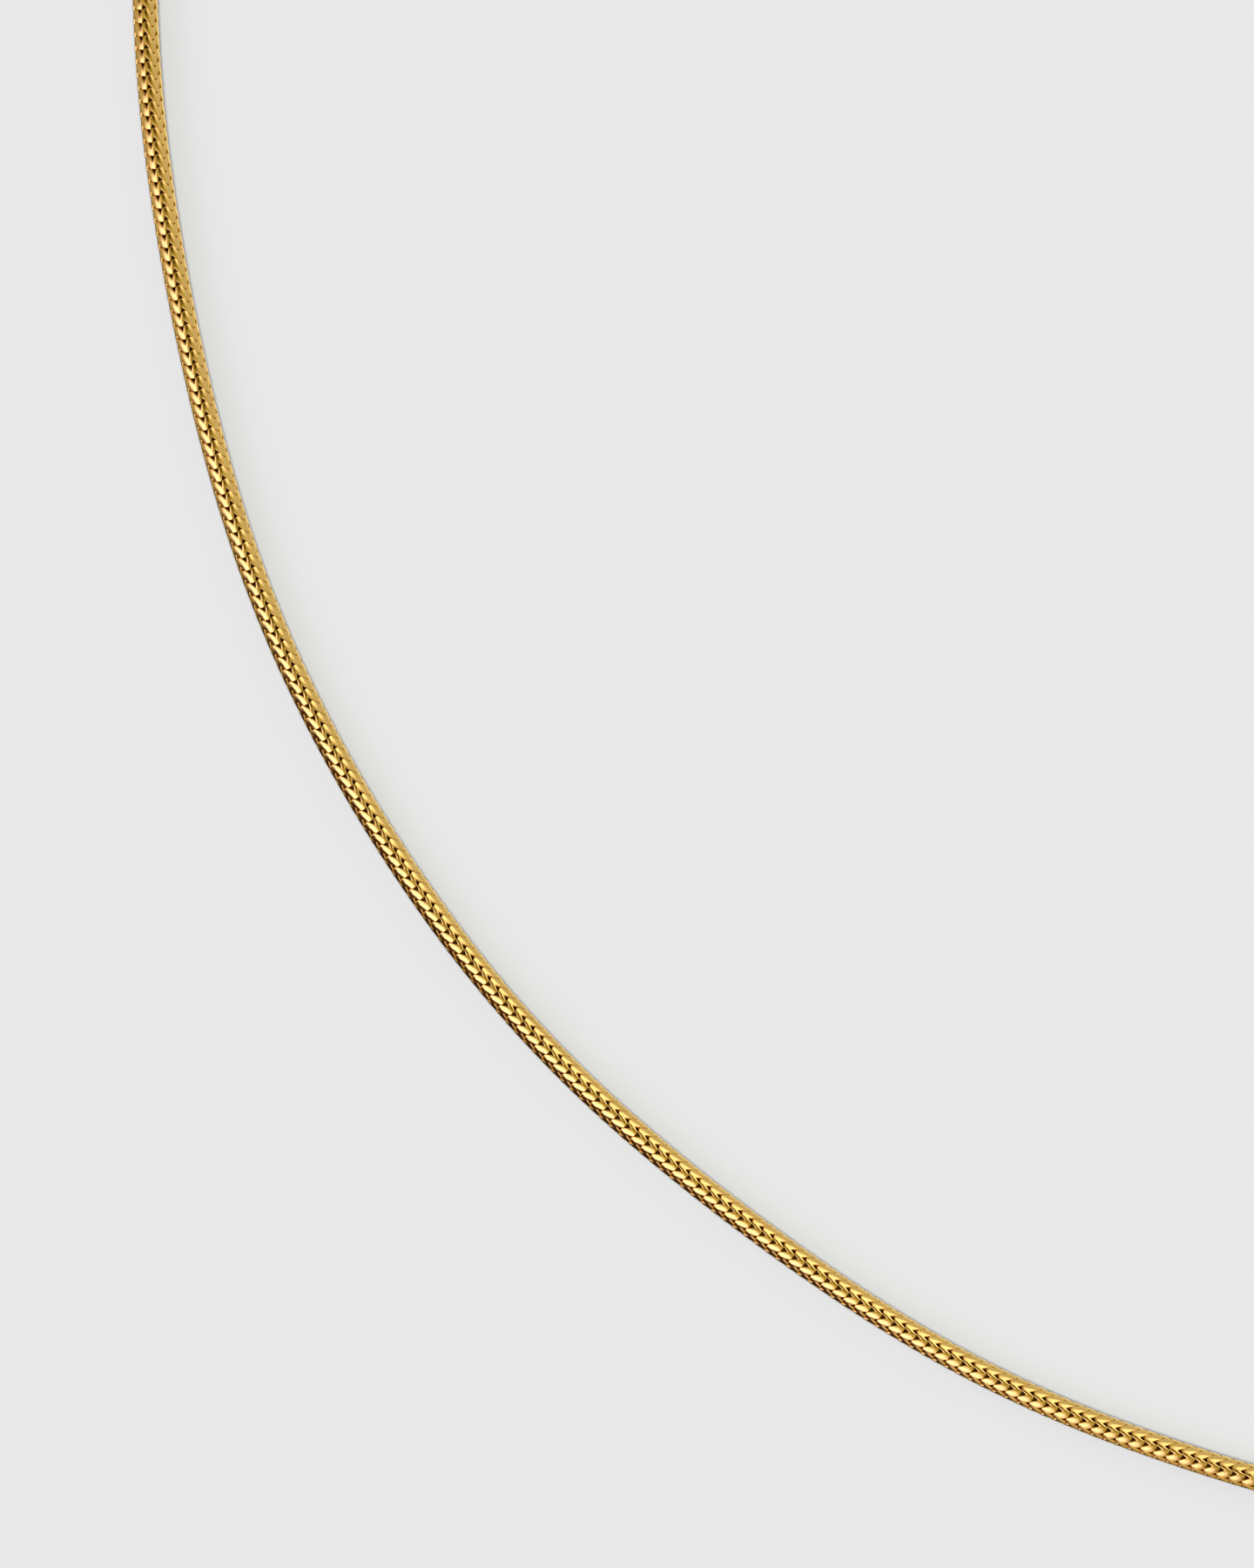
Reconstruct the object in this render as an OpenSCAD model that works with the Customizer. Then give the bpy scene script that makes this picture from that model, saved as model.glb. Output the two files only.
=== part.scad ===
// A fine round snake chain necklace, closed and lying in a wide oval on a flat surface.
// +Z is up and +Y runs from the bottom of the loop to the clasp. The origin is on the
// surface, under the middle of the part. Sizes are in millimetres.

/* [Chain] */
// Diameter of the chain
chain_d = 1.0; // [0.8:0.1:1.6]

/* [Loop] */
// Width of the loop, between the chain's centre lines
loop_w = 145; // [110:1:180]
// Length of the loop, between the chain's centre lines
loop_l = 132; // [100:1:170]
// Squareness of the loop, where 2 is an ellipse
loop_power = 2.25; // [2:0.05:2.6]

/* [End caps] */
// Length of an end cap's barrel
cap_len = 4.5; // [3.5:0.1:7]
// Wall of the barrel around the chain
cap_wall = 0.4; // [0.3:0.05:0.6]
// Solid end of the barrel, between the bore and the eye
cap_end = 1.5; // [1:0.1:2]
// Clearance between the chain and the bore, all round and at its bottom
bore_gap = 0.1; // [0.05:0.01:0.15]
// Length over which the chain rises from the surface to an end cap
rise_len = 14; // [8:1:20]

/* [Clasp and rings] */
// Wire of the eyes on the end caps and the clasp
eye_wire = 0.4; // [0.3:0.05:0.6]
// Wire of the jump ring
ring_wire = 0.5; // [0.4:0.05:0.7]
// Outer diameter of the jump ring
ring_d = 3.2; // [3:0.1:5]
// Thickness of the clasp's ring
clasp_wire = 0.8; // [0.6:0.05:1.2]
// Outer diameter of the clasp's ring
clasp_d = 5.5; // [5.5:0.1:8]
// Length of the thumb knob that stands out from the clasp's ring
knob_len = 0.5; // [0.3:0.1:0.8]
// Diameter of the thumb knob
knob_d = 0.6; // [0.4:0.05:0.6]
// Clearance between linked rings, where they pull on each other
link_gap = 0.2; // [0.1:0.05:0.3]

/* [Hidden] */
$fn = 48;

chain_r = chain_d / 2;
tube_sides = 8;
// An odd number puts one section at the very bottom of the loop
route_rings = 81;
// The chain wanders a little in and out, as a laid chain does: how far, and the waves round
wander_slow = [0.087, 12];
wander_quick = [0.053, 21];

bore_d = chain_d + 2 * bore_gap;
cap_d = bore_d + 2 * cap_wall;
bore_depth = cap_len - cap_end;
mouth_chamfer = cap_wall / 4;
dome_r = cap_d / 4;

// An eye takes the thicker of the two wires that pass through it
eye_hole = max(ring_wire, clasp_wire) + 2 * link_gap;
eye_d = eye_hole + 2 * eye_wire;
// Height of the axis on which the caps, the rings and the clasp lie
closure_z = max(cap_d, eye_d) / 2;

// Distances along the closure, counted from the left cap's eye
ring_pull = eye_hole / 2 - link_gap - ring_wire / 2;
clasp_pull = eye_hole / 2 - link_gap - clasp_wire / 2;
ring_mid_r = (ring_d - ring_wire) / 2;
clasp_mid_r = (clasp_d - clasp_wire) / 2;
ring_x = ring_pull + ring_mid_r;
clasp_eye_x = ring_x + ring_mid_r + ring_pull;
clasp_x = clasp_eye_x + (eye_hole + clasp_wire) / 2 + clasp_mid_r;
right_eye_x = clasp_x + clasp_mid_r + clasp_pull;
half_closure = right_eye_x / 2;

// From an eye's centre to the mouth of its cap, with half the eye's wire in the cap
cap_reach = (eye_hole + eye_wire) / 2 + cap_len;

// Height and slope of the oval's top at a distance x from its middle
function top_y(x) = loop_l / 2 * pow(1 - pow(x / (loop_w / 2), loop_power), 1 / loop_power);
function top_slope(x) =
    loop_l / loop_w * pow(x / (loop_w / 2), loop_power - 1)
    * pow(top_y(x) / (loop_l / 2), 1 - loop_power);

// The caps lean with the oval, and their mouths lie on it
cap_lean = atan(top_slope(half_closure + cap_reach));
mouth_x = half_closure + cap_reach * cos(cap_lean);
eye_y = top_y(mouth_x) + cap_reach * sin(cap_lean);

// The route of the chain: a superellipse from the right mouth round the bottom to the left
// mouth, with a straight end in each cap's bore
mouth_angle = atan2(top_y(mouth_x), mouth_x);
sweep_angle = 180 + 2 * mouth_angle;

// The wander is widest at the bottom, the same on both sides, and dies out at the mouths
function wave(w, a) = w[0] * cos(w[1] * (a + 90));
function wander(a) =
    cos(180 * (a + 90) / sweep_angle) * (wave(wander_slow, a) + wave(wander_quick, a));

// Moves the loop so that the part's middle lies over the origin
loop_y = (loop_l / 2 + wander(-90) + chain_r - eye_y - clasp_d / 2) / 2;
closure_y = loop_y + eye_y;

function oval_r(a) =
    pow(pow(abs(cos(a)) / (loop_w / 2), loop_power)
        + pow(abs(sin(a)) / (loop_l / 2), loop_power), -1 / loop_power);
function smooth(t) = t * t * (3 - 2 * t);
function mouth_distance(x, y) = norm([abs(x) - mouth_x, y - top_y(mouth_x)]);
function rise(x, y) = smooth(1 - min(1, mouth_distance(x, y) / rise_len));
function route(a) =
    let (r = oval_r(a) + wander(a), x = r * cos(a), y = r * sin(a))
    [x, loop_y + y, chain_r + (closure_z - chain_r) * rise(x, y)];
function bore_end(side) =
    let (depth = bore_depth - bore_gap)
    [side * (mouth_x - depth * cos(cap_lean)),
     loop_y + top_y(mouth_x) + depth * sin(cap_lean),
     closure_z];
chain_path = [
    bore_end(1),
    for (i = [0 : route_rings - 1]) route(mouth_angle - i * sweep_angle / (route_rings - 1)),
    bore_end(-1)
];

// One section of the tube, square to the path, with a corner straight down
function unit(v) = v / norm(v);
function along(path, i) = unit(path[min(i + 1, len(path) - 1)] - path[max(i - 1, 0)]);
function section(path, i, r, sides) =
    let (side = unit(cross(along(path, i), [0, 0, 1])), up = cross(side, along(path, i)))
    [for (k = [0 : sides - 1])
        path[i] + r * (cos(360 * k / sides) * side + sin(360 * k / sides) * up)];

module swept_tube(path, r, sides) {
    last = len(path) - 1;
    points = [for (i = [0 : last]) each section(path, i, r, sides)];
    walls = [
        for (i = [0 : last - 1]) for (k = [0 : sides - 1])
            let (next = (k + 1) % sides)
            [i * sides + k, i * sides + next, (i + 1) * sides + next, (i + 1) * sides + k]
    ];
    first_end = [for (k = [sides - 1 : -1 : 0]) k];
    last_end = [for (k = [0 : sides - 1]) last * sides + k];
    polyhedron(points, [first_end, each walls, last_end]);
}

module chain() {
    color("goldenrod") swept_tube(chain_path, chain_r, tube_sides);
}

// A round wire ring about the Z axis
module wire_ring(mid_r, wire) {
    rotate_extrude() translate([mid_r, 0]) circle(d = wire);
}

// An upright eye that a lying ring passes through
module eye() {
    rotate([90, 0, 0]) wire_ring((eye_hole + eye_wire) / 2, eye_wire);
}

// The barrel's profile stands on its mouth and closes in a rounded end
module barrel() {
    rotate_extrude() difference() {
        union() {
            polygon([
                [0, 0], [cap_d / 2 - mouth_chamfer, 0], [cap_d / 2, mouth_chamfer],
                [cap_d / 2, cap_len - dome_r], [0, cap_len - dome_r]
            ]);
            translate([0, cap_len - dome_r]) square([cap_d / 2 - dome_r, dome_r]);
            translate([cap_d / 2 - dome_r, cap_len - dome_r]) intersection() {
                circle(r = dome_r);
                square(dome_r);
            }
        }
        square([bore_d / 2, bore_depth]);
    }
}

// A cap with its eye at the origin and its mouth along +X
module end_cap() {
    eye();
    translate([cap_reach, 0, 0]) rotate([0, -90, 0]) barrel();
}

module end_cap_right() {
    color("gold")
        translate([half_closure, closure_y, closure_z])
        rotate([0, 0, -cap_lean]) end_cap();
}

module end_cap_left() {
    color("gold")
        translate([-half_closure, closure_y, closure_z])
        rotate([0, 0, 180 + cap_lean]) end_cap();
}

module jump_ring() {
    color("gold")
        translate([ring_x - half_closure, closure_y, closure_z])
        wire_ring(ring_mid_r, ring_wire);
}

module clasp() {
    color("gold") {
        translate([clasp_eye_x - half_closure, closure_y, closure_z]) eye();
        translate([clasp_x - half_closure, closure_y, closure_z]) {
            wire_ring(clasp_mid_r, clasp_wire);
            translate([0, -clasp_mid_r, 0]) rotate([90, 0, 0])
                cylinder(d = knob_d, h = clasp_wire / 2 + knob_len);
        }
    }
}

chain();
end_cap_left();
end_cap_right();
jump_ring();
clasp();
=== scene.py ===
import math

import bpy
import numpy as np
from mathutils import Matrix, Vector


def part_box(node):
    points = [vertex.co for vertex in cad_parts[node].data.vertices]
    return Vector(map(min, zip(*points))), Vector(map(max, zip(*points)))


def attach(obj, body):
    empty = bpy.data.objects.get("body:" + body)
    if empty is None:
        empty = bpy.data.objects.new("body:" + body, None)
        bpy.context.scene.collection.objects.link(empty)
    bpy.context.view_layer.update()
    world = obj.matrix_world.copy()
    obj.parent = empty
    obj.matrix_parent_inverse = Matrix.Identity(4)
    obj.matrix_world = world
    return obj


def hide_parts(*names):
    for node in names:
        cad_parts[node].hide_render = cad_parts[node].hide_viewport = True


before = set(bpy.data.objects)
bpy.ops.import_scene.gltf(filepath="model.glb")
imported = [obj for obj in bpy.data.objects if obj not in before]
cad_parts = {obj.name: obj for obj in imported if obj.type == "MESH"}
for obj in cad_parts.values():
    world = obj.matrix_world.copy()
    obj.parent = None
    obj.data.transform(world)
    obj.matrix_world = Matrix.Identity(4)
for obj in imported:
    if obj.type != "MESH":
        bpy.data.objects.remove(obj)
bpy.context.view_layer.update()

MM = 0.001

# The loop, as the solids have it
LOOP_W = 145 * MM
LOOP_L = 132 * MM
LOOP_POWER = 2.25
WANDERS = ((0.087 * MM, 12), (0.053 * MM, 21))
RISE_LEN = 14 * MM
CAP_REACH = 5.3 * MM
BORE_RUN = 2.9 * MM
LOOP_SAMPLES = 6001
BORE_SAMPLES = 30

# The chain's links: bands whose edges zigzag, with notches that leave small dark holes
CHAIN_R = 0.5 * MM
LINK_PITCH = 0.525 * MM
WAVES = 6
FALL_SHARE = 0.28
ZIGZAG = 0.45 * MM
SEAM_SWAY = 0.018 * MM
LONG_SWAY = 0.06 * MM
SMALL_NOTCH_TURN = math.radians(60)
SMALL_NOTCH_SWAY = 0.16 * MM
SEAM_GAP = 0.014 * MM
LINK_INNER_R = 0.25 * MM
EDGE_DROP = 0.013 * MM
DOME_DROP = 0.006 * MM
EDGE_RUN = 0.035 * MM
FACET = 0.28
CORE_R = 0.247 * MM
CORE_SIDES = 14
CORE_STEP = 1.2 * MM
PIECES = 5

# Where the points of a link lie round it, as shares of a half wave, and a share that is less
# than any step between them
STEPS = np.array([0.0, 0.2, 0.4, 0.5, 0.6, 0.8])
LESS_THAN_STEP = 0.01

# How much painted shade each point of a link's section has: the inner points down the walls into
# the notches take the darker painted shade colour
PAINTED_SHADE = np.array([1, 0, 0, 0, 0, 0, 1.0])

# The chain rolls to and fro a little as it lies
ROLL_REST = math.radians(94)
ROLL_SWING = math.radians(18.6)
ROLL_TURNS = 2.5
ROLL_START = 0.3805

# The photograph's frame, at 29 pixels for each millimetre of the chain's thickness
PIXELS_PER_M = 29 / MM
LOOP_MIDDLE_PX = (2270.1, -108.1)
VIEW_MIDDLE_PX = (720, 900)
VIEW_H_PX = 1800
LENS = 150
SENSOR = 36
NEAREST = 0.001
FARTHEST = 10

# The gold's finish: broad changes of tone, and a fine grain
TONE_SCALE = 900
TONE_DETAIL = 3
TONE_SHARE = 0.25
ROUGHNESS_CHANGE = 0.3
GRAIN_SCALE = 9000
GRAIN_DETAIL = 2
GRAIN_DEPTH = 0.01 * MM
COAT_ROUGHNESS = 0.08

# The floor, and the dome behind it
FLOOR_SIZE = 8
FLOOR_TONE = (0.1655, 0.169, 0.167)
FLOOR_ROUGHNESS = 0.9
BACKDROP_R = 3.9
BACKDROP_SEGMENTS = 64
BACKDROP_RINGS = 32
BACKDROP_TONE = (0.812, 0.812, 0.812)

# Lights for the floor: name, azimuth counted from +X, elevation, spread and strength
SUNS = (
    ("overhead", 0, 90, 20, 11.9),
    ("key", 185, 30, 27, 1.15),
    ("window", 142, 27, 27, 1.15),
)
SUN_DISTANCE = 0.5

# Patches of the surroundings, each over the ones before: colour, azimuth, elevation,
# and the angles from its middle where it begins to fade and where it ends
BASE_TONE = (0.21, 0.14, 0.01)
PATCHES = (
    ((0.65, 0.63, 0.59), 35, 5, 45, 80),
    ((0.32, 0.265, 0.12), 218, -25, 45, 80),
    ((1.00, 0.95, 0.80), 40, -65, 25, 45),
    ((0.54, 0.475, 0.19), 0, 90, 25, 45),
    ((0.58, 0.52, 0.47), 178, 0, 15, 36),
    ((0.72, 0.61, 0.50), 264, 5, 10, 32),
    ((1.90, 1.68, 1.80), 48, 38, 8, 23),
    ((0.08, 0.05, 0.004), 55, 72, 8, 18),
    ((2.05, 1.82, 2.70), 219, 35, 27, 46),
)

# The dark sector low down: its colour and azimuth, and the angles beside and above its
# middle where it begins to fade and where it ends
DARK_TONE = (0.05, 0.022, 0.005)
DARK_AZIMUTH = 223
DARK_WIDTH = (16, 38)
DARK_TOP = (24, 31)

# Where the closure is, read from the solids
chain_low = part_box("chain")[0]
cap_low, cap_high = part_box("end_cap_right")
closure_z = (cap_low.z + cap_high.z) / 2
half_closure = cap_low.x + closure_z
loop_y = chain_low.y + CHAIN_R + LOOP_L / 2 + sum(size for size, waves in WANDERS)


def top_y(x):
    """Height of the oval's top above its middle, at a distance x from the middle."""
    return LOOP_L / 2 * (1 - (x / (LOOP_W / 2)) ** LOOP_POWER) ** (1 / LOOP_POWER)


def top_slope(x):
    """Slope of the oval's top."""
    steepness = (x / (LOOP_W / 2)) ** (LOOP_POWER - 1)
    return LOOP_L / LOOP_W * steepness * (top_y(x) / (LOOP_L / 2)) ** (1 - LOOP_POWER)


def smooth(t):
    """A soft step from nought to one."""
    return t * t * (3 - 2 * t)


def unit(v):
    """Vectors made one long."""
    return v / np.linalg.norm(v, axis=-1, keepdims=True)


def cap_mouth():
    """Where the chain enters its right cap, counted from the loop's middle, and the cap's lean."""
    lean = math.atan(top_slope(half_closure + CAP_REACH))
    mouth_x = half_closure + CAP_REACH * math.cos(lean)
    return mouth_x, top_y(mouth_x), lean


def loop_points(mouth_x, mouth_y):
    """The chain's middle line from the left cap's mouth round the bottom to the right one's."""
    mouth_angle = math.atan2(mouth_y, mouth_x)
    angles = np.linspace(math.pi - mouth_angle, 2 * math.pi + mouth_angle, LOOP_SAMPLES)
    flat = np.abs(np.cos(angles) / (LOOP_W / 2)) ** LOOP_POWER
    flat += np.abs(np.sin(angles) / (LOOP_L / 2)) ** LOOP_POWER
    turn = angles - 1.5 * math.pi
    wander = sum(size * np.cos(waves * turn) for size, waves in WANDERS)
    ending = np.cos(math.pi * turn / (math.pi + 2 * mouth_angle))
    radius = flat ** (-1 / LOOP_POWER) + wander * ending
    x, y = radius * np.cos(angles), radius * np.sin(angles)
    near = 1 - np.minimum(1, np.hypot(np.abs(x) - mouth_x, y - mouth_y) / RISE_LEN)
    z = CHAIN_R + (closure_z - CHAIN_R) * smooth(near)
    return np.stack([x, y + loop_y, z], axis=1)


def bore_points(mouth_x, mouth_y, lean):
    """The chain's middle line in the right cap's bore, from its end out to the mouth."""
    depth = np.linspace(BORE_RUN, 0, BORE_SAMPLES, endpoint=False)
    bore_x = mouth_x - depth * math.cos(lean)
    bore_y = loop_y + mouth_y + depth * math.sin(lean)
    return np.stack([bore_x, bore_y, np.full_like(depth, closure_z)], axis=1)


def make_route():
    """Points, sideways and upward directions along the chain, with the length to each point.

    The route runs from the left cap's bore round the bottom of the loop to the right one's.
    """
    mouth_x, mouth_y, lean = cap_mouth()
    bore = bore_points(mouth_x, mouth_y, lean)
    points = np.concatenate([bore * [-1, 1, 1], loop_points(mouth_x, mouth_y), bore[::-1]])
    lengths = np.concatenate([[0], np.cumsum(np.linalg.norm(np.diff(points, axis=0), axis=1))])
    along = unit(np.gradient(points, lengths, axis=0))
    outward = unit(np.stack([along[:, 1], -along[:, 0], np.zeros(len(along))], axis=1))
    upward = np.cross(outward, along)
    return {"lengths": lengths, "points": points, "outward": outward, "upward": upward}


route = make_route()
chain_length = route["lengths"][-1]


def place(run, angle, radius):
    """Points at a length along the chain, an angle round it and a distance from its middle."""
    def at(name):
        columns = [np.interp(run, route["lengths"], route[name][:, i]) for i in range(3)]
        return np.stack(columns, axis=-1)
    sideways = (radius * np.cos(angle))[..., None] * at("outward")
    up = (radius * np.sin(angle))[..., None] * at("upward")
    return at("points") + sideways + up


def mesh_object(name, points, quads, material, attributes=None):
    """A smooth-shaded object from arrays of points and four-cornered faces."""
    mesh = bpy.data.meshes.new(name)
    mesh.vertices.add(len(points))
    mesh.vertices.foreach_set("co", points.astype(np.float32).ravel())
    mesh.loops.add(quads.size)
    mesh.loops.foreach_set("vertex_index", quads.astype(np.int32).ravel())
    mesh.polygons.add(len(quads))
    mesh.polygons.foreach_set("loop_start", np.arange(0, quads.size, 4, dtype=np.int32))
    mesh.polygons.foreach_set("use_smooth", np.ones(len(quads), dtype=bool))
    for key, values in (attributes or {}).items():
        layer = mesh.attributes.new(key, "FLOAT", "POINT")
        layer.data.foreach_set("value", values.astype(np.float32).ravel())
    mesh.materials.append(material)
    mesh.update(calc_edges=True)
    mesh.validate()
    made = bpy.data.objects.new(name, mesh)
    bpy.context.scene.collection.objects.link(made)
    return made


def grid_quads(rings, sides):
    """Faces of closed bands: rings x sides points, joined round both ways."""
    r, s = np.meshgrid(np.arange(rings), np.arange(sides), indexing="ij")
    r2, s2 = (r + 1) % rings, (s + 1) % sides
    corners = [r * sides + s, r2 * sides + s, r2 * sides + s2, r * sides + s2]
    return np.stack(corners, axis=-1).reshape(-1, 4)


def link_outline():
    """One link laid flat: the angle of each step round it and the height of the zigzag there."""
    turn, level = [], []
    for wave in range(WAVES):
        for start, share, sign in ((0.0, FALL_SHARE, 1), (FALL_SHARE, 1 - FALL_SHARE, -1)):
            for step in STEPS:
                turn.append((wave + start + step * share) / WAVES * 2 * math.pi)
                level.append(sign * (1 - 2 * step))
    return np.array(turn), np.array(level)


def wave_share(turn):
    """How far through its wave each angle round the link is."""
    return turn / (2 * math.pi) * WAVES % 1


def seam_sway(turn, level):
    """How far the seam follows the zigzag: further on the long side of each trough,
    and in the one row of small notches."""
    long_side = (wave_share(turn) > FALL_SHARE + LESS_THAN_STEP) & (level < 0)
    off = np.abs((turn - SMALL_NOTCH_TURN + math.pi) % (2 * math.pi) - math.pi)
    small = (level > 0) & (off < math.pi / WAVES)
    return np.where(small, SMALL_NOTCH_SWAY, np.where(long_side, LONG_SWAY, SEAM_SWAY))


def facet_radius(turn):
    """Outer radius of a link, a little flattened between the folds of its zigzag."""
    share = wave_share(turn)
    falling = share < FALL_SHARE
    width = np.where(falling, FALL_SHARE, 1 - FALL_SHARE)
    middle = np.where(falling, FALL_SHARE / 2, (1 + FALL_SHARE) / 2)
    half = width / 2 / WAVES * 2 * math.pi
    off = (share - middle) / WAVES * 2 * math.pi
    return CHAIN_R * (1 - FACET + FACET * np.cos(half) / np.cos(off))


def roll(run):
    """How far the chain is rolled about its own middle line at a length along it."""
    turn = ROLL_TURNS * 2 * math.pi * (run / chain_length - ROLL_START)
    return ROLL_REST - ROLL_SWING * (1 - np.cos(turn))


def link_sections(pitch):
    """A link's steps round the chain, and its closed section at each: lengths and radii."""
    turn, level = link_outline()
    half = (pitch - SEAM_GAP) / 2
    sway = seam_sway(turn, level)
    front = half + np.minimum(level * ZIGZAG / 2, sway)
    rear = -half + np.maximum(level * ZIGZAG / 2, -sway)
    middle = (front + rear) / 2
    crown = facet_radius(turn)
    inner = np.full_like(crown, LINK_INNER_R)
    edge = crown - EDGE_DROP
    brow = crown - DOME_DROP
    run = np.stack([rear, rear, rear + EDGE_RUN, middle, front - EDGE_RUN, front, front], axis=1)
    radius = np.stack([inner, edge, brow, crown, brow, edge, inner], axis=1)
    return turn, run, radius


def make_links(name, first, last, pitch, material):
    """A stretch of links, each a closed band round the chain with a notched zigzag edge."""
    turn, section_run, section_radius = link_sections(pitch)
    count = last - first
    middles = (np.arange(first, last) + 0.5) * pitch
    run = middles[:, None, None] + section_run[None]
    angle = roll(middles)[:, None, None] + turn[None, :, None] + np.zeros_like(run)
    radius = section_radius[None] + np.zeros_like(run)
    points = place(run, angle, radius).reshape(-1, 3)
    rings, sides = section_run.shape
    starts = np.arange(count) * rings * sides
    quads = (grid_quads(rings, sides)[None] + starts[:, None, None]).reshape(-1, 4)
    # The attribute marks each link's walls into the notches, where the material paints shade
    return mesh_object(name, points, quads, material, {"painted_shade": np.tile(PAINTED_SHADE, count * rings)})


def make_core(name, material):
    """The inner tube that shows through the notches between the links, coloured near black as
    painted shade in the holes.
    """
    rings = int(chain_length / CORE_STEP)
    run = np.linspace(0, chain_length, rings)
    turn = np.linspace(0, 2 * math.pi, CORE_SIDES, endpoint=False)
    run, turn = np.meshgrid(run, turn, indexing="ij")
    points = place(run, turn, np.full_like(run, CORE_R)).reshape(-1, 3)
    open_ended = grid_quads(rings, CORE_SIDES)[:-CORE_SIDES]
    return mesh_object(name, points, open_ended, material)


def new_material(name):
    """A material with nodes, and its shader."""
    made = bpy.data.materials.new(name)
    made.use_nodes = True
    return made, made.node_tree.nodes["Principled BSDF"]


def colour_mix(tree, blend="MIX"):
    """A node that lays colour B over colour A."""
    node = tree.nodes.new("ShaderNodeMix")
    node.data_type = "RGBA"
    node.blend_type = blend
    return node


def object_noise(tree, scale, detail):
    """Noise that keeps its place on the object."""
    where = tree.nodes.new("ShaderNodeTexCoord")
    noise = tree.nodes.new("ShaderNodeTexNoise")
    noise.inputs["Scale"].default_value = scale
    noise.inputs["Detail"].default_value = detail
    tree.links.new(where.outputs["Object"], noise.inputs["Vector"])
    return noise.outputs["Fac"]


def gold_colour(tree, noise, colour, painted_shade_colour):
    """The gold's uneven colour, with a darker colour painted on the link walls as shade in the
    notches.
    """
    painted_shade = tree.nodes.new("ShaderNodeAttribute")
    painted_shade.attribute_name = "painted_shade"
    base = colour_mix(tree)
    base.inputs["A"].default_value = (*colour, 1)
    base.inputs["B"].default_value = (*painted_shade_colour, 1)
    tree.links.new(painted_shade.outputs["Fac"], base.inputs["Factor"])
    tint = colour_mix(tree, "MULTIPLY")
    tint.inputs["Factor"].default_value = TONE_SHARE
    tree.links.new(base.outputs["Result"], tint.inputs["A"])
    tree.links.new(noise, tint.inputs["B"])
    return tint.outputs["Result"]


def gold_material(name, colour, painted_shade_colour, roughness, grain, coat):
    """Polished gold plate: small changes of tone, fine scratches, and painted shade that darkens
    the link walls in the notches.
    """
    made, shader = new_material(name)
    tree = made.node_tree
    shader.inputs["Metallic"].default_value = 1.0
    shader.inputs["Coat Weight"].default_value = coat
    shader.inputs["Coat Roughness"].default_value = COAT_ROUGHNESS
    noise = object_noise(tree, TONE_SCALE, TONE_DETAIL)
    tree.links.new(gold_colour(tree, noise, colour, painted_shade_colour), shader.inputs["Base Color"])
    spread = tree.nodes.new("ShaderNodeMapRange")
    spread.inputs["To Min"].default_value = roughness * (1 - ROUGHNESS_CHANGE)
    spread.inputs["To Max"].default_value = roughness * (1 + ROUGHNESS_CHANGE)
    tree.links.new(noise, spread.inputs["Value"])
    tree.links.new(spread.outputs["Result"], shader.inputs["Roughness"])
    bump = tree.nodes.new("ShaderNodeBump")
    bump.inputs["Strength"].default_value = grain
    bump.inputs["Distance"].default_value = GRAIN_DEPTH
    tree.links.new(object_noise(tree, GRAIN_SCALE, GRAIN_DETAIL), bump.inputs["Height"])
    tree.links.new(bump.outputs["Normal"], shader.inputs["Normal"])
    return made


def make_floor():
    """A pale matt floor, which the gold doesn't reflect."""
    bpy.ops.mesh.primitive_plane_add(size=FLOOR_SIZE, location=(0, 0, 0))
    floor = bpy.context.active_object
    floor.name = "floor"
    made, shader = new_material("pale_floor")
    shader.inputs["Base Color"].default_value = (*FLOOR_TONE, 1)
    shader.inputs["Roughness"].default_value = FLOOR_ROUGHNESS
    shader.inputs["Specular IOR Level"].default_value = 0.0
    floor.data.materials.append(made)
    floor.visible_glossy = False


def make_backdrop():
    """A plain pale dome behind the floor, seen by the camera alone."""
    bpy.ops.mesh.primitive_uv_sphere_add(
        segments=BACKDROP_SEGMENTS, ring_count=BACKDROP_RINGS, radius=BACKDROP_R)
    backdrop = bpy.context.active_object
    backdrop.name = "backdrop"
    made, shader = new_material("pale_backdrop")
    shader.inputs["Base Color"].default_value = (0, 0, 0, 1)
    shader.inputs["Specular IOR Level"].default_value = 0.0
    shader.inputs["Emission Color"].default_value = (*BACKDROP_TONE, 1)
    shader.inputs["Emission Strength"].default_value = 1.0
    backdrop.data.materials.append(made)
    backdrop.visible_diffuse = False
    backdrop.visible_glossy = False
    backdrop.visible_shadow = False


def make_camera():
    """Looks straight down at the lower left of the loop, as the photograph does."""
    centre_x = (VIEW_MIDDLE_PX[0] - LOOP_MIDDLE_PX[0]) / PIXELS_PER_M
    centre_y = loop_y - (VIEW_MIDDLE_PX[1] - LOOP_MIDDLE_PX[1]) / PIXELS_PER_M
    view_height = VIEW_H_PX / PIXELS_PER_M
    data = bpy.data.cameras.new("camera")
    data.lens = LENS
    data.sensor_width = SENSOR
    data.clip_start = NEAREST
    data.clip_end = FARTHEST
    camera = bpy.data.objects.new("camera", data)
    camera.location = (centre_x, centre_y, CHAIN_R + view_height * LENS / SENSOR)
    bpy.context.scene.collection.objects.link(camera)
    bpy.context.scene.camera = camera


def towards(azimuth, elevation):
    """The direction of an azimuth counted from +X and an elevation, both in degrees."""
    a, e = math.radians(azimuth), math.radians(elevation)
    return (math.cos(a) * math.cos(e), math.sin(a) * math.cos(e), math.sin(e))


def sun_light(name, azimuth, elevation, spread, strength):
    """A broad soft light for the floor alone."""
    data = bpy.data.lights.new(name, "SUN")
    data.angle = math.radians(spread)
    data.energy = strength
    light = bpy.data.objects.new(name, data)
    away = Vector(towards(azimuth, elevation))
    light.rotation_mode = "QUATERNION"
    light.rotation_quaternion = away.to_track_quat("Z", "Y")
    light.location = away * SUN_DISTANCE
    light.visible_glossy = False
    bpy.context.scene.collection.objects.link(light)


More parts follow.
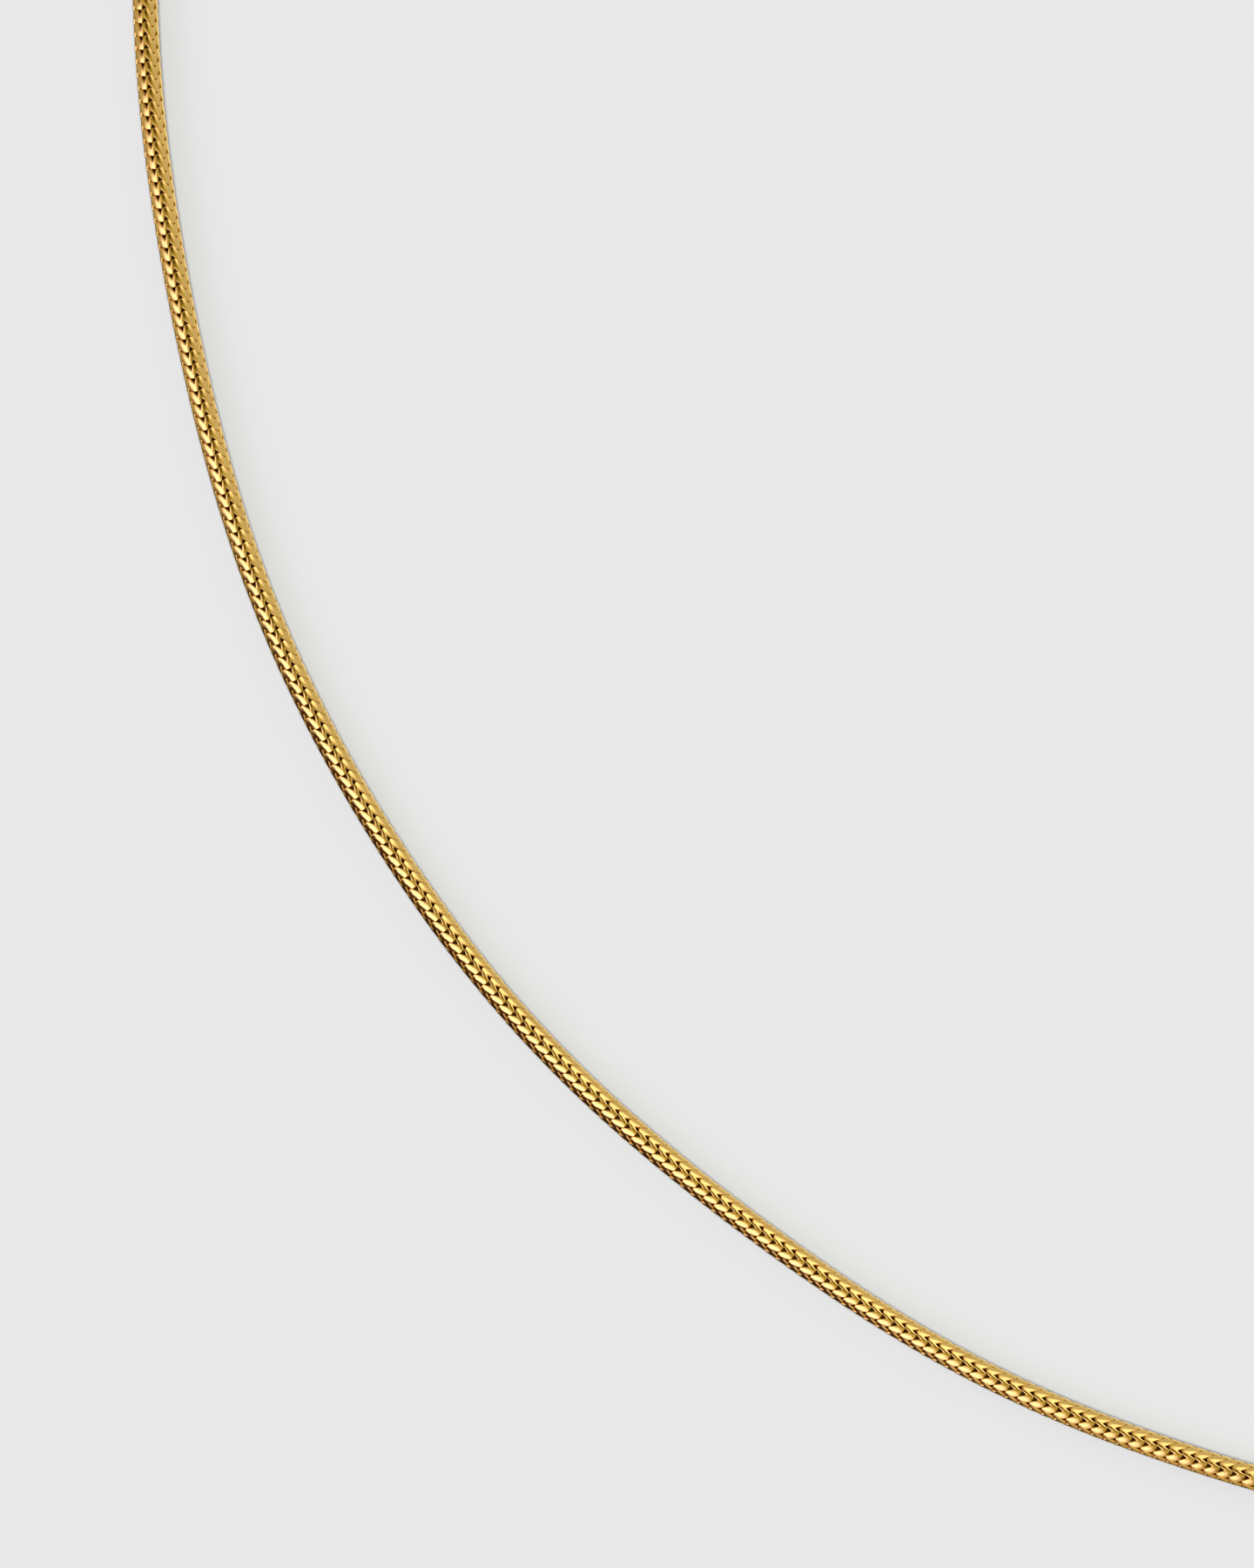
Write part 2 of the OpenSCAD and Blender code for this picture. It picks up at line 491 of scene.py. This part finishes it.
def fade(tree, value, start, end):
    """One where the value is at the start, nought where it is at the end."""
    node = tree.nodes.new("ShaderNodeMapRange")
    node.interpolation_type = "SMOOTHSTEP"
    node.inputs["From Min"].default_value = end
    node.inputs["From Max"].default_value = start
    tree.links.new(value, node.inputs["Value"])
    return node.outputs["Result"]


def vector_math(tree, operation, value, other=None):
    """A sum on a vector, with a fixed second one where it needs that."""
    node = tree.nodes.new("ShaderNodeVectorMath")
    node.operation = operation
    tree.links.new(value, node.inputs[0])
    if other is not None:
        node.inputs[1].default_value = other
    return node


def lay_over(tree, below, factor, tone):
    """A fixed tone laid over a colour, as much as the factor says."""
    mix = colour_mix(tree)
    tree.links.new(factor, mix.inputs["Factor"])
    tree.links.new(below, mix.inputs["A"])
    mix.inputs["B"].default_value = (*tone, 1)
    return mix.outputs["Result"]


def patched(tree, where, colour):
    """A colour with the patches of the surroundings laid over it."""
    for tone, azimuth, elevation, inner, outer in PATCHES:
        dot = vector_math(tree, "DOT_PRODUCT", where, towards(azimuth, elevation))
        edges = [math.cos(math.radians(angle)) for angle in (inner, outer)]
        near = fade(tree, dot.outputs["Value"], *edges)
        colour = lay_over(tree, colour, near, tone)
    return colour


def dark_sector(tree, where):
    """One in the dark sector low down, nought away from it."""
    flat = vector_math(tree, "MULTIPLY", where, (1, 1, 0)).outputs["Vector"]
    level = vector_math(tree, "NORMALIZE", flat).outputs["Vector"]
    dot = vector_math(tree, "DOT_PRODUCT", level, towards(DARK_AZIMUTH, 0))
    edges = [math.cos(math.radians(angle)) for angle in DARK_WIDTH]
    beside = fade(tree, dot.outputs["Value"], *edges)
    height = tree.nodes.new("ShaderNodeSeparateXYZ")
    tree.links.new(where, height.inputs[0])
    tops = [math.sin(math.radians(angle)) for angle in DARK_TOP]
    below = fade(tree, height.outputs["Z"], *tops)
    both = tree.nodes.new("ShaderNodeMath")
    both.operation = "MULTIPLY"
    tree.links.new(beside, both.inputs[0])
    tree.links.new(below, both.inputs[1])
    return both.outputs[0]


def make_world():
    """Soft studio surroundings: warm walls, a bright side, and a dark side low down."""
    world = bpy.data.worlds.new("studio")
    bpy.context.scene.world = world
    world.use_nodes = True
    tree = world.node_tree
    where = tree.nodes.new("ShaderNodeTexCoord").outputs["Generated"]
    base = tree.nodes.new("ShaderNodeRGB")
    base.outputs[0].default_value = (*BASE_TONE, 1)
    walls = patched(tree, where, base.outputs[0])
    colour = lay_over(tree, walls, dark_sector(tree, where), DARK_TONE)
    tree.links.new(colour, tree.nodes["Background"].inputs["Color"])


make_camera()
make_floor()
make_backdrop()
make_world()
for sun in SUNS:
    sun_light(*sun)

# The chain's links take a darker brown on their walls into the notches: painted shade, not the
# gold's own colour
chain_gold = gold_material(
    "chain_gold", colour=(1.0, 0.668, 0.192), painted_shade_colour=(0.55, 0.28, 0.012),
    roughness=0.16, grain=0.15, coat=0.02)
fitting_gold = gold_material(
    "fitting_gold", colour=(1.0, 0.655, 0.2), painted_shade_colour=(1.0, 0.655, 0.2),
    roughness=0.12, grain=0.1, coat=0.1)
# The core's near-black colour is painted shade, darkening the holes between the links
core_painted_shade = gold_material(
    "core_painted_shade", colour=(0.12, 0.06, 0.003), painted_shade_colour=(0.12, 0.06, 0.003),
    roughness=0.4, grain=0.1, coat=0.0)

link_count = round(chain_length / LINK_PITCH)
pitch = chain_length / link_count
stops = [round(i * link_count / PIECES) for i in range(PIECES + 1)]
for number, (first, last) in enumerate(zip(stops[:-1], stops[1:]), start=1):
    stretch = make_links(f"chain_links_{number}", first, last, pitch, chain_gold)
    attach(stretch, "root")
    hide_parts("chain")
core = make_core("chain_painted_shade_core", core_painted_shade)
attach(core, "root")
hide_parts("chain")

for node in ("end_cap_left", "end_cap_right", "jump_ring", "clasp"):
    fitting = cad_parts[node]
    fitting.data.materials.clear()
    fitting.data.materials.append(fitting_gold)

bpy.context.scene.view_settings.view_transform = "Standard"
bpy.context.scene.view_settings.look = "None"
